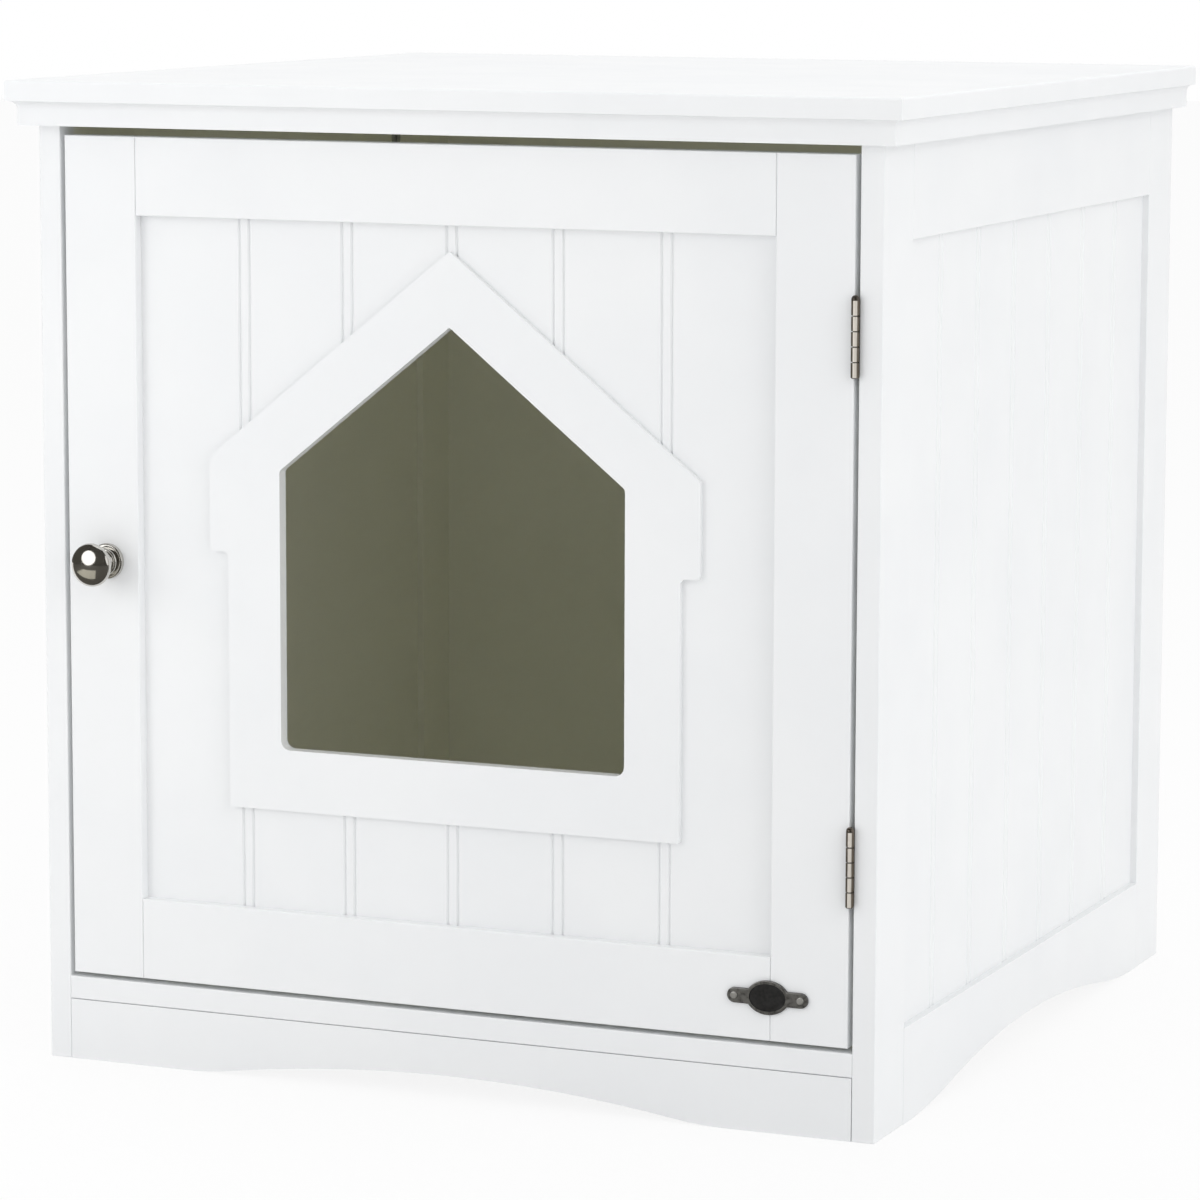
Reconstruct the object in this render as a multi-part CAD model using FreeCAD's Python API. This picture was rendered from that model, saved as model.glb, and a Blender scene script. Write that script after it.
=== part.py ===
import FreeCAD, Part
import math
import os

# Free-standing painted cabinet that hides a litter tray, with a house-shaped entrance in its door.
# Millimetres. +X is to the right of someone facing the door, +Y runs from the door to the back,
# +Z is up. The origin is on the floor, in the middle of the outer box.

# Body
body_width = 459.0
body_depth = 476.0
overall_height = 510.0
board = 12.0                    # thickness of every frame board
edge_round = 0.6                # eased edges of the boards
shoulder_gap = 0.12             # hairline at the shoulders of the door's rails
apron_gap = 0.3                 # hairline at the ends and the upper edge of an apron

# Top board and the cove cornice under it
top_thickness = 10.5
top_overhang = 13.0             # at the front and at both sides
top_edge_round = 1.5
cornice_height = 12.5
cornice_fascia = 8.0            # how far its flat lower band stands out from the body
cornice_setback = 1.0           # from the top board's edge back to the cornice's lip

# Side frames
side_stile_width = 42.0
side_top_rail_height = 60.0
side_bottom_rail_height = 49.0
side_panel_recess = 4.0
side_arch_foot = 2.0            # flat left at each end of the arched rail
side_arch_rise = 16.0
side_arch_toe = 66.0            # length of the reversed curve where the arch leaves the foot

# Bead-board panels
panel_thickness = 4.0
panel_tongue = 7.0              # depth of the grooves that hold a panel's edges
panel_end_play = 0.5            # left between a panel's edge and the bottom of its groove
bead_pitch = 57.7
bead_spacing = 5.5              # between the two grooves of a bead
bead_groove_width = 2.0
bead_groove_depth = 1.1

# Floor, aprons, stretchers and back
floor_height = 32.0             # underside of the floor board
front_arch_foot = 67.0
front_arch_rise = 11.5
front_arch_toe = 26.0
stretcher_width = 42.0
back_thickness = 6.0
back_rabbet = 6.0               # how far the back panel reaches into each rear stile
back_play = 0.2

# Door frame
door_side_gap = 2.6
door_top_gap = 5.3
door_bottom_gap = 2.4
door_thickness = 12.0
door_stile_width = 40.5
door_top_rail_height = 40.0
door_bottom_rail_height = 42.0
door_panel_recess = 6.0

# Entrance and its raised surround
surround_thickness = 3.0
surround_side_room = 39.7       # from the eaves to the door's stiles
surround_ridge_room = 13.0      # from the ridge up to the door's top rail
entrance_sill = 125.6           # from the door's lower edge up to the sill
roof_pitch = 38.8               # degrees
surround_band = 29.4            # width of the surround beside and above the entrance
surround_sill_band = 31.5       # its width under the entrance
eave_step = 10.4                # how far the eaves stand out beyond the walls
eave_height = 48.5
entrance_sill_round = 5.0
entrance_eave_round = 3.0
surround_round = 1.5
eave_fillet = 3.0

# Knob
knob_diameter = 22.4
knob_head_length = 10.5         # along the knob's axis
knob_reach = 23.0               # from the door's face to the tip
knob_from_edge = 22.6           # from the door's free edge to the knob's axis
knob_neck_diameter = 9.0
rosette_diameter = 18.4
rosette_thickness = 3.0
knob_screw_radius = 1.95
knob_screw_head_radius = 4.0
knob_screw_head_height = 2.4
knob_screw_bite = 9.0           # length of the screw inside the knob

# Butt hinges
hinge_length = 37.0             # of the barrel
hinge_from_top = 87.8           # from the door's upper end to the middle of the upper barrel
hinge_from_bottom = 89.7        # from the door's lower end to the middle of the lower barrel
leaf_thickness = 1.0
leaf_depth = 10.0
barrel_radius = 2.0
barrel_clearance = 0.35         # between the barrel and the faces of the door and the post
hinge_pin_radius = 1.1
hinge_pin_play = 0.05
pin_head_radius = 2.0
pin_head_neck = 0.6             # under the head's half ball
pin_foot_radius = 1.6
pin_foot_height = 0.4           # spread end below
knuckle_count = 5
knuckle_gap = 0.3
leaf_screw_spacing = 24.0
leaf_screw_setback = 6.0        # from the door's face to the leaf screws

# Magnetic catch on the left front stile, and its strike on the door
catch_from_top = 110.0          # from the door's upper edge down to the catch's middle
catch_length = 30.0             # upright
catch_depth = 14.0              # along the side
catch_height = 16.0             # out from the side
catch_ear = 9.0
catch_ear_thickness = 3.0
catch_wall = 1.6
magnet_length = 22.0
magnet_depth = 10.0
magnet_height = 5.4
pole_thickness = 1.2
pole_reach = 0.8                # how far the pole plates stand out of the housing
catch_gap = 0.3                 # between the pole plates and the closed door's strike
strike_length = 30.0
strike_width = 9.0
strike_thickness = 1.0

# Blank oval plate at the door's lower right
plate_length = 42.5             # over its two ears
plate_ear_height = 7.6
plate_oval_length = 22.4
plate_oval_height = 17.1
plate_thickness = 1.6
plate_rim = 1.6                 # width of the rim round the oval's sunk field
plate_field_depth = 0.5
plate_edge_round = 0.4
plate_from_side = 41.5          # from the door's right edge to the plate's middle
plate_from_bottom = 21.9
plate_pin_radius = 0.8
plate_pin_length = 5.0
plate_pin_head_radius = 1.8
plate_pin_head_height = 0.9

# Dowels, cam fittings and screws
dowel_radius = 3.0
dowel_length = 30.0
dowel_bite = 8.0                # length of a carcass dowel inside the side frame
dowel_pitch_top = 24.0
dowel_pitch_bottom = 14.0
door_dowel_pitch = 14.0
dowel_end_play = 0.5
fixing_play = 0.05              # radial room of dowels, bolts and screws in their holes
outer_fixing_offset = 13.0      # from the body's front or back face to a carcass dowel
inner_fixing_offset = 29.0      # from the body's front or back face to a cam bolt
top_fixing_offset = 78.0        # from the body's front or back face to a cam bolt of the top
bolt_to_dowel = 9.0             # from a cam bolt's axis down to the side frame's nearest dowel
cam_radius = 6.0
cam_height = 9.5
cam_reach = 24.0                # from a board's end to the middle of its cam
top_cam_reach = 36.0            # from the top board down to the middle of a side rail's cam
cam_slot_width = 1.6
cam_slot_depth = 1.5
bolt_radius = 2.5
bolt_neck_radius = 1.6
bolt_neck_length = 5.0
bolt_head_radius = 2.8
bolt_head_length = 2.5
bolt_bite = 8.0                 # length of a cam bolt's thread past the joint that it draws together
wood_screw_radius = 1.5
wood_screw_head_radius = 3.0
wood_screw_head_height = 1.8
back_screw_length = 22.0
back_screw_spacing = 150.0
small_screw_radius = 1.1
small_screw_head_radius = 2.0
small_screw_head_height = 0.9
small_screw_length = 9.0
screw_point_length = 2.0        # a screw's point, in radii of its shank
screw_point_width = 0.3         # the end of the point, in radii of its shank
recess_reach = 0.6              # arms of a cross recess, in radii of its screw head
recess_width = 0.2              # half the width of an arm, in radii of its screw head
recess_depth = 0.6              # depth of the recess, in heights of its screw head

# Places worked out from the sizes above
front_reach = max(knob_reach, top_overhang)
front_y = (front_reach - body_depth) / 2
back_y = front_y + body_depth
outer_x = body_width / 2
inner_x = outer_x - board
under_top = overall_height - top_thickness
floor_top = floor_height + board
stretcher_bottom = under_top - board
back_face = back_y - back_thickness
side_middle_y = (front_y + back_y) / 2
side_panel_width = body_depth - 2 * side_stile_width
side_recess_bottom = side_bottom_rail_height
side_recess_top = under_top - side_top_rail_height

door_left = -inner_x + door_side_gap
door_right = inner_x - door_side_gap
door_bottom = floor_top + door_bottom_gap
door_top = stretcher_bottom - door_top_gap
door_back = front_y + door_thickness
door_panel_left = door_left + door_stile_width
door_panel_right = door_right - door_stile_width
door_recess_bottom = door_bottom + door_bottom_rail_height
door_recess_top = door_top - door_top_rail_height
door_panel_face = front_y + door_panel_recess
door_middle_x = (door_left + door_right) / 2
door_dowel_y = front_y + door_thickness / 2

hinge_x = inner_x - door_side_gap / 2
hinge_y = front_y - barrel_radius - barrel_clearance
hinge_heights = (door_bottom + hinge_from_bottom, door_top - hinge_from_top)
knob_x = door_left + knob_from_edge
knob_z = (door_bottom + door_top) / 2

X_AXIS = FreeCAD.Vector(1, 0, 0)
Y_AXIS = FreeCAD.Vector(0, 1, 0)
Z_AXIS = FreeCAD.Vector(0, 0, 1)
TOUCH = 1e-6


# Building helpers

def block(x_span, y_span, z_span):
    """A rectangular block between two x values, two y values and two z values, in any order."""
    low = FreeCAD.Vector(min(x_span), min(y_span), min(z_span))
    high = FreeCAD.Vector(max(x_span), max(y_span), max(z_span))
    return Part.makeBox(high.x - low.x, high.y - low.y, high.z - low.z, low)


def rod(start, direction, length, radius):
    return Part.makeCylinder(radius, length, FreeCAD.Vector(*start), direction)


def eased(shape, radius, planes):
    """Round the edges that lie in the given planes, each plane an axis letter and a place on it."""
    chosen = []
    for edge in shape.Edges:
        ends = [vertex.Point for vertex in edge.Vertexes]
        if any(all(abs(getattr(end, axis) - place) < TOUCH for end in ends) for axis, place in planes):
            chosen.append(edge)
    return shape.makeFillet(radius, chosen)


def at(x, z):
    """A point of an outline drawn in the plane of the door."""
    return FreeCAD.Vector(x, 0, z)


def filled(edges, y_place, depth):
    """A board of the given depth along +Y, from an outline drawn in the plane of the door."""
    face = Part.Face(Part.Wire(edges))
    face.translate(Y_AXIS * y_place)
    return face.extrude(Y_AXIS * depth)


def rounded_outline(corners):
    """Edges of a closed outline through corners given as (x, z, radius), each with its round."""
    starts = []
    ends = []
    arcs = []
    count = len(corners)
    for index, (x, z, radius) in enumerate(corners):
        corner = at(x, z)
        before = at(*corners[index - 1][:2]) - corner
        after = at(*corners[(index + 1) % count][:2]) - corner
        before.normalize()
        after.normalize()
        half_angle = before.getAngle(after) / 2
        reach = radius / math.tan(half_angle)
        bisector = before + after
        bisector.normalize()
        centre = corner + bisector * (radius / math.sin(half_angle))
        starts.append(corner + before * reach)
        ends.append(corner + after * reach)
        arcs.append(Part.Arc(starts[-1], centre - bisector * radius, ends[-1]).toShape())
    edges = []
    for index in range(count):
        edges.append(arcs[index])
        edges.append(Part.LineSegment(ends[index], starts[(index + 1) % count]).toShape())
    return edges


def arched_board(length, height, foot, rise, toe):
    """A board along X, as thick as the rest, whose lower edge rises in an arch between two flat feet."""
    half = length / 2
    reach = half - foot
    turn = 2 * math.atan(rise / reach)
    toe_radius = toe / math.sin(turn)
    crown_radius = (reach - toe) / math.sin(turn)

    def toe_point(side, share):
        angle = turn * share
        return at(side * (reach - toe_radius * math.sin(angle)), toe_radius * (1 - math.cos(angle)))

    def toe_arc(side, shares):
        return Part.Arc(*[toe_point(side, share) for share in shares]).toShape()

    crown = at(0, toe_radius * (1 - math.cos(turn)) + crown_radius * (1 - math.cos(turn)))
    corners = [at(reach, 0), at(half, 0), at(half, height), at(-half, height), at(-half, 0), at(-reach, 0)]
    edges = [Part.LineSegment(*pair).toShape() for pair in zip(corners, corners[1:])]
    edges.append(toe_arc(-1, (0, 0.5, 1)))
    edges.append(Part.Arc(toe_point(-1, 1), crown, toe_point(1, 1)).toShape())
    edges.append(toe_arc(1, (1, 0.5, 0)))
    return filled(edges, 0, board)


def bead_grooves(middle, span, height_span, face, along_x, outward):
    """Cutters for the pairs of V grooves in a panel's face, spread evenly about its middle."""
    pairs = round(span / bead_pitch) - 1
    cutters = []
    for index in range(pairs):
        bead = middle + (index - (pairs - 1) / 2) * bead_pitch
        for offset in (-bead_spacing / 2, bead_spacing / 2):
            profile = [(-bead_groove_width / 2, 0), (bead_groove_width / 2, 0), (0, -bead_groove_depth)]
            points = []
            for across, depth in profile:
                place = bead + offset + across
                level = face + outward * depth
                point = (place, level, min(height_span)) if along_x else (level, place, min(height_span))
                points.append(FreeCAD.Vector(*point))
            triangle = Part.Face(Part.makePolygon(points + points[:1]))
            cutters.append(triangle.extrude(Z_AXIS * (max(height_span) - min(height_span))))
    return cutters


def screw(point, outward, radius, length, head_radius, head_height, round_head=False):
    """A wood screw whose head's top, or the seat of its round head, is at the point."""
    tip = screw_point_length * radius
    if round_head:
        head = Part.makeCylinder(head_radius, head_height)
        head = head.makeFillet(head_height / 2, [head.Edges[0]])
        shank_top = 0.0
        head_top = head_height
    else:
        head = Part.makeCone(radius, head_radius, head_height, FreeCAD.Vector(0, 0, -head_height))
        shank_top = -head_height
        head_top = 0.0
    shank = rod((0, 0, tip - length), Z_AXIS, length - tip + shank_top, radius)
    point_end = Part.makeCone(screw_point_width * radius, radius, tip, FreeCAD.Vector(0, 0, -length))
    solid = head.fuse([shank, point_end]).removeSplitter()
    reach = head_radius * recess_reach
    half_width = head_radius * recess_width
    slot_span = (head_top - head_height * recess_depth, head_top + head_height)
    cross = [block((-reach, reach), (-half_width, half_width), slot_span),
             block((-half_width, half_width), (-reach, reach), slot_span)]
    solid = solid.cut(cross)
    solid.Placement = FreeCAD.Placement(FreeCAD.Vector(*point), FreeCAD.Rotation(Z_AXIS, outward))
    return solid


def screw_hole(point, outward, radius, length, head_radius, head_height):
    """Cutter for a countersunk screw: its shank and its head, with room all round."""
    inward = outward * -1
    start = FreeCAD.Vector(*point)
    shank = Part.makeCylinder(radius + fixing_play, length + fixing_play, start, inward)
    head = Part.makeCone(head_radius + fixing_play, radius + fixing_play, head_height, start, inward)
    return shank.fuse(head)


def group(solids):
    return Part.makeCompound(solids)


# Top board and cornice

def top_board():
    x = outer_x + top_overhang
    slab = block((-x, x), (front_y - top_overhang, back_y), (under_top, overall_height))
    slab = eased(slab, top_edge_round, [("z", overall_height)])
    return slab.cut([top_fitting(side, y).thread_hole() for side in (-1, 1) for y in top_cam_places])


def cornice_profile():
    """Section of the cornice as (how far out, how far down): band, quarter-round cove and lip."""
    lip = top_overhang - cornice_setback
    cove = lip - cornice_fascia
    hollow = cove * math.sqrt(0.5)
    points = [at(0, 0), at(0, -cornice_height), at(cornice_fascia, -cornice_height),
              at(cornice_fascia, -cove)]
    edges = [Part.LineSegment(*pair).toShape() for pair in zip(points, points[1:])]
    edges.append(Part.Arc(at(cornice_fascia, -cove), at(lip - hollow, hollow - cove), at(lip, 0)).toShape())
    edges.append(Part.LineSegment(at(lip, 0), at(0, 0)).toShape())
    return Part.Face(Part.Wire(edges))


def cornice(side):
    """One length of cornice, mitred at the front corners. Side 0 is the front, -1 left and 1 right."""
    lip = top_overhang
    if side == 0:
        section = cornice_profile()
        section.rotate(FreeCAD.Vector(), Z_AXIS, -90)
        section.translate(FreeCAD.Vector(-outer_x - lip, front_y, under_top))
        length = section.extrude(X_AXIS * (body_width + 2 * lip))
        plan = [(-outer_x, front_y), (outer_x, front_y),
                (outer_x + lip, front_y - lip), (-outer_x - lip, front_y - lip)]
    else:
        section = cornice_profile()
        if side < 0:
            section.rotate(FreeCAD.Vector(), Z_AXIS, 180)
        section.translate(FreeCAD.Vector(side * outer_x, front_y - lip, under_top))
        length = section.extrude(Y_AXIS * (body_depth + lip))
        plan = [(side * outer_x, front_y), (side * outer_x, back_y),
                (side * (outer_x + lip), back_y), (side * (outer_x + lip), front_y - lip)]
    points = [FreeCAD.Vector(x, y, under_top - cornice_height) for x, y in plan]
    prism = Part.Face(Part.makePolygon(points + points[:1])).extrude(Z_AXIS * cornice_height)
    return length.common(prism)


# Places of the fixings that join the boards to the side frames, each as (y, z)
floor_level = floor_height + board / 2
stretcher_level = stretcher_bottom + board / 2
apron_level = floor_height / 2
carcass_dowel_places = []
cam_places = []
for level in (floor_level, stretcher_level):
    carcass_dowel_places += [(front_y + outer_fixing_offset, level), (back_y - outer_fixing_offset, level)]
    cam_places += [(front_y + inner_fixing_offset, level), (back_y - inner_fixing_offset, level)]
carcass_dowel_places += [(front_y + board / 2, apron_level), (back_y - board / 2, apron_level)]
top_cam_places = [front_y + top_fixing_offset, back_y - top_fixing_offset]


def carcass_dowel(side, place, play=0.0, end_play=0.0):
    y, z = place
    start = side * (inner_x + dowel_bite + end_play)
    length = dowel_length + 2 * end_play
    return rod((start, y, z), X_AXIS * -side, length, dowel_radius + play)


class CamFitting:
    """A bolt threaded into one board and drawn by a cam in another, at right angles to it."""

    def __init__(self, seat, way, mouth, reach):
        self.seat = FreeCAD.Vector(*seat)       # where the bolt crosses the joint
        self.way = way                          # from the joint into the cam's board
        self.mouth = mouth                      # the side of that board on which the cam shows
        self.reach = reach                      # from the joint to the middle of the cam
        self.middle = self.seat + way * reach
        self.face = self.middle + mouth * (board / 2)

    def bolt(self):
        """Thread, neck and the head that the cam pulls on."""
        neck_end = self.reach - bolt_head_length / 2
        neck_start = neck_end - bolt_neck_length
        thread = rod(self.seat - self.way * bolt_bite, self.way, bolt_bite + neck_start, bolt_radius)
        neck = rod(self.seat + self.way * neck_start, self.way, bolt_neck_length, bolt_neck_radius)
        head = rod(self.seat + self.way * neck_end, self.way, bolt_head_length, bolt_head_radius)
        return thread.fuse([neck, head])

    def thread_hole(self):
        return rod(self.seat, self.way * -1, bolt_bite + dowel_end_play, bolt_radius + fixing_play)

    def cam_holes(self):
        """The bolt's way through the cam's board, and the round pocket of the cam."""
        room = max(bolt_head_radius, bolt_radius) + fixing_play
        length = self.reach + bolt_head_length / 2 + dowel_end_play
        way = rod(self.seat, self.way, length, room)
        pocket = rod(self.face, self.mouth * -1, cam_height + dowel_end_play, cam_radius + fixing_play)
        return [way, pocket]

    def cam(self):
        """A drum, hollow along the bolt's way, with a screwdriver slot in its face."""
        drum = rod(self.face, self.mouth * -1, cam_height, cam_radius)
        hollow = rod(self.middle - self.way * cam_radius, self.way,
                     cam_radius + bolt_head_length, bolt_head_radius + fixing_play)
        corner = self.way * cam_radius + self.way.cross(self.mouth) * (cam_slot_width / 2)
        corner += self.mouth * cam_slot_depth
        low = self.face - corner
        high = self.face + corner
        slot = block((low.x, high.x), (low.y, high.y), (low.z, high.z))
        return drum.cut([hollow, slot])


def board_fitting(side, place):
    """Draws the end of a level board to a side frame, with its cam underneath."""
    return CamFitting((side * inner_x, *place), X_AXIS * -side, Z_AXIS * -1, cam_reach)


def top_fitting(side, y):
    """Draws the top board down on a side frame's top rail, with its cam inside the cabinet."""
    seat = (side * (inner_x + board / 2), y, under_top)
    return CamFitting(seat, Z_AXIS * -1, X_AXIS * -side, top_cam_reach)


# Side frames

groove_top = side_recess_top + panel_tongue
groove_bottom = side_recess_bottom - panel_tongue
rail_ends = (front_y + side_stile_width, back_y - side_stile_width)
frame_dowel_heights = []
for level, pitch in ((stretcher_level, dowel_pitch_top), (floor_level, dowel_pitch_bottom)):
    frame_dowel_heights += [level - bolt_to_dowel, level - bolt_to_dowel - pitch]


def frame_dowels(side, play=0.0, end_play=0.0):
    """Dowels along Y between the rails and the stiles of one side frame."""
    dowels = []
    for end in rail_ends:
        for height in frame_dowel_heights:
            start = (side * (inner_x + board / 2), end - dowel_length / 2 - end_play, height)
            dowels.append(rod(start, Y_AXIS, dowel_length + 2 * end_play, dowel_radius + play))
    return dowels


def panel_slot(side):
    """The two x values between which a side panel and its grooves lie."""
    face = outer_x - side_panel_recess
    return (side * face, side * (face - panel_thickness))


def side_fixing_holes(side):
    """Everything that is drilled into one side frame."""
    holes = frame_dowels(side, fixing_play, dowel_end_play)
    holes += [carcass_dowel(side, place, fixing_play, dowel_end_play) for place in carcass_dowel_places]
    holes += [board_fitting(side, place).thread_hole() for place in cam_places]
    for y in top_cam_places:
        holes += top_fitting(side, y).cam_holes()
    return holes


def side_stile(side, front):
    x_span = (side * inner_x, side * outer_x)
    y_edge = front_y if front else back_y
    y_inner = rail_ends[0] if front else rail_ends[1]
    stile = block(x_span, (y_edge, y_inner), (0, under_top))
    stile = eased(stile, edge_round, [("x", side * outer_x), ("y", y_edge)])
    y_groove = y_inner - panel_tongue if front else y_inner + panel_tongue
    cutters = [block(panel_slot(side), (y_inner, y_groove), (groove_bottom, groove_top))]
    if front:
        cutters += hinge_screw_holes(side) if side > 0 else catch_screw_holes()
    else:
        cutters.append(block((side * inner_x, side * (inner_x + back_rabbet)), (back_face, back_y),
                             (floor_height, under_top)))
    return stile.cut(cutters + side_fixing_holes(side))


def side_top_rail(side):
    rail = block((side * inner_x, side * outer_x), rail_ends, (side_recess_top, under_top))
    rail = eased(rail, edge_round, [("x", side * outer_x)])
    slot = block(panel_slot(side), rail_ends, (side_recess_top, groove_top))
    return rail.cut([slot] + side_fixing_holes(side))


def side_bottom_rail(side):
    rail = arched_board(side_panel_width, side_bottom_rail_height,
                        side_arch_foot, side_arch_rise, side_arch_toe)
    rail.rotate(FreeCAD.Vector(), Z_AXIS, 90)
    rail.translate(FreeCAD.Vector(max(side * inner_x, side * outer_x), side_middle_y, 0))
    slot = block(panel_slot(side), rail_ends, (groove_bottom, side_recess_bottom))
    return rail.cut([slot] + side_fixing_holes(side))


def side_panel(side):
    tuck = panel_tongue - panel_end_play
    height_span = (side_recess_bottom - tuck, side_recess_top + tuck)
    panel = block(panel_slot(side), (rail_ends[0] - tuck, rail_ends[1] + tuck), height_span)
    face = side * (outer_x - side_panel_recess)
    return panel.cut(bead_grooves(side_middle_y, side_panel_width, height_span, face, False, side))


# Boards between the side frames

def end_fixing_holes(places, cams):
    """Holes in both ends of a board for its dowels, and for its cams with their bolts."""
    cutters = []
    for side in (-1, 1):
        cutters += [carcass_dowel(side, place, fixing_play, dowel_end_play) for place in places]
        for place in cams:
            cutters += board_fitting(side, place).cam_holes()
    return cutters


def fixings_at(level, places):
    return [place for place in places if place[1] == level]


def fixings_on(front, places):
    """The places in the front half of the body, or those in its rear half."""
    return [place for place in places if (place[0] < side_middle_y) == front]


def floor_board():
    floor = block((-inner_x, inner_x), (front_y, back_face), (floor_height, floor_top))
    floor = eased(floor, edge_round, [("y", front_y)])
    cutters = end_fixing_holes(fixings_at(floor_level, carcass_dowel_places),
                               fixings_at(floor_level, cam_places))
    return floor.cut(cutters + back_screw_holes())


def apron(front):
    plank = arched_board(2 * (inner_x - apron_gap), floor_height - apron_gap, front_arch_foot,
                         front_arch_rise, front_arch_toe)
    plank.translate(Y_AXIS * (front_y if front else back_y - board))
    places = fixings_on(front, fixings_at(apron_level, carcass_dowel_places))
    return plank.cut(end_fixing_holes(places, []))


def stretcher(front):
    y_span = (front_y, front_y + stretcher_width) if front else (back_face - stretcher_width, back_face)
    plank = block((-inner_x, inner_x), y_span, (stretcher_bottom, under_top))
    cutters = end_fixing_holes(fixings_on(front, fixings_at(stretcher_level, carcass_dowel_places)),
                               fixings_on(front, fixings_at(stretcher_level, cam_places)))
    return plank.cut(cutters if front else cutters + back_screw_holes())


def back_panel():
    reach = inner_x + back_rabbet - back_play
    panel = block((-reach, reach), (back_face, back_y), (floor_height + back_play, under_top - back_play))
    return panel.cut(back_screw_holes())


# Screws of the back

back_screw_places = [(index * back_screw_spacing, back_y, level)
                     for level in (floor_level, stretcher_level) for index in (-1, 0, 1)]


def back_screw_holes():
    return [screw_hole(place, Y_AXIS, wood_screw_radius, back_screw_length,
                       wood_screw_head_radius, wood_screw_head_height) for place in back_screw_places]


def back_screws():
    return group([screw(place, Y_AXIS, wood_screw_radius, back_screw_length,
                        wood_screw_head_radius, wood_screw_head_height) for place in back_screw_places])


# Door frame

door_groove_bottom = door_recess_bottom - panel_tongue
door_groove_top = door_recess_top + panel_tongue
door_slot = (door_panel_face, door_panel_face + panel_thickness)
door_dowel_heights = []
for low, high in ((door_bottom, door_groove_bottom), (door_groove_top, door_top)):
    middle_height = (low + high) / 2
    door_dowel_heights += [middle_height - door_dowel_pitch / 2, middle_height + door_dowel_pitch / 2]


def door_dowels(play=0.0, end_play=0.0):
    dowels = []
    for end in (door_panel_left, door_panel_right):
        for height in door_dowel_heights:
            start = (end - dowel_length / 2 - end_play, door_dowel_y, height)
            dowels.append(rod(start, X_AXIS, dowel_length + 2 * end_play, dowel_radius + play))
    return dowels


def door_stile(side):
    x_edge = door_left if side < 0 else door_right
    x_inner = door_panel_left if side < 0 else door_panel_right
    stile = block((x_edge, x_inner), (front_y, door_back), (door_bottom, door_top))
    stile = eased(stile, edge_round, [("y", front_y)])
    groove = block((x_inner, x_inner + side * panel_tongue), door_slot, (door_groove_bottom, door_groove_top))
    cutters = [groove] + door_dowels(fixing_play, dowel_end_play)
    if side < 0:
        knob_hole_radius = knob_screw_radius + fixing_play
        cutters.append(rod((knob_x, front_y, knob_z), Y_AXIS, door_thickness, knob_hole_radius))
        cutters.append(strike_screw_hole())
    else:
        cutters += hinge_screw_holes(-1) + plate_pin_holes()
    return stile.cut(cutters)


def door_rail(upper):
    z_span = (door_recess_top, door_top) if upper else (door_bottom, door_recess_bottom)
    x_span = (door_panel_left + shoulder_gap, door_panel_right - shoulder_gap)
    rail = block(x_span, (front_y, door_back), z_span)
    rail = eased(rail, edge_round, [("y", front_y)])
    slot_span = (door_recess_top, door_groove_top) if upper else (door_groove_bottom, door_recess_bottom)
    cutters = [block(x_span, door_slot, slot_span)]
    cutters += door_dowels(fixing_play, dowel_end_play)
    return rail.cut(cutters if upper else cutters + plate_pin_holes())


# Entrance, bead panel and surround of the door

surround_eave = (door_panel_right - door_panel_left) / 2 - surround_side_room
surround_wall = surround_eave - eave_step
surround_ridge_z = door_recess_top - surround_ridge_room
slope = math.tan(math.radians(roof_pitch))
half_entrance = surround_wall - surround_band
sill_z = door_bottom + entrance_sill
ridge_z = surround_ridge_z - surround_band / math.cos(math.radians(roof_pitch))
eave_z = ridge_z - half_entrance * slope


def entrance_cutter(y_place, depth):
    corners = [(-half_entrance, sill_z, entrance_sill_round), (half_entrance, sill_z, entrance_sill_round),
               (half_entrance, eave_z, entrance_eave_round), (0, ridge_z, surround_round),
               (-half_entrance, eave_z, entrance_eave_round)]
    cutter = filled(rounded_outline(corners), y_place, depth)
    cutter.translate(X_AXIS * door_middle_x)
    return cutter


def door_bead_panel():
    tuck = panel_tongue - panel_end_play
    height_span = (door_recess_bottom - tuck, door_recess_top + tuck)
    panel = block((door_panel_left - tuck, door_panel_right + tuck), door_slot, height_span)
    width = door_panel_right - door_panel_left
    grooves = bead_grooves(door_middle_x, width, height_span, door_panel_face, True, -1)
    return panel.cut(grooves + [entrance_cutter(door_panel_face, panel_thickness)])


def house_surround():
    eave_top = surround_ridge_z - surround_eave * slope
    eave_bottom = eave_top - eave_height
    foot = sill_z - surround_sill_band
    right_side = [(surround_wall, foot, surround_round), (surround_wall, eave_bottom, eave_fillet),
                  (surround_eave, eave_bottom, surround_round), (surround_eave, eave_top, surround_round)]
    left_side = [(-x, z, radius) for x, z, radius in reversed(right_side)]
    corners = right_side + [(0, surround_ridge_z, surround_round)] + left_side
    face = door_panel_face - surround_thickness
    plate = filled(rounded_outline(corners), face, surround_thickness)
    plate.translate(X_AXIS * door_middle_x)
    return plate.cut(entrance_cutter(face, surround_thickness))


# Knob and its screw

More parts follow.
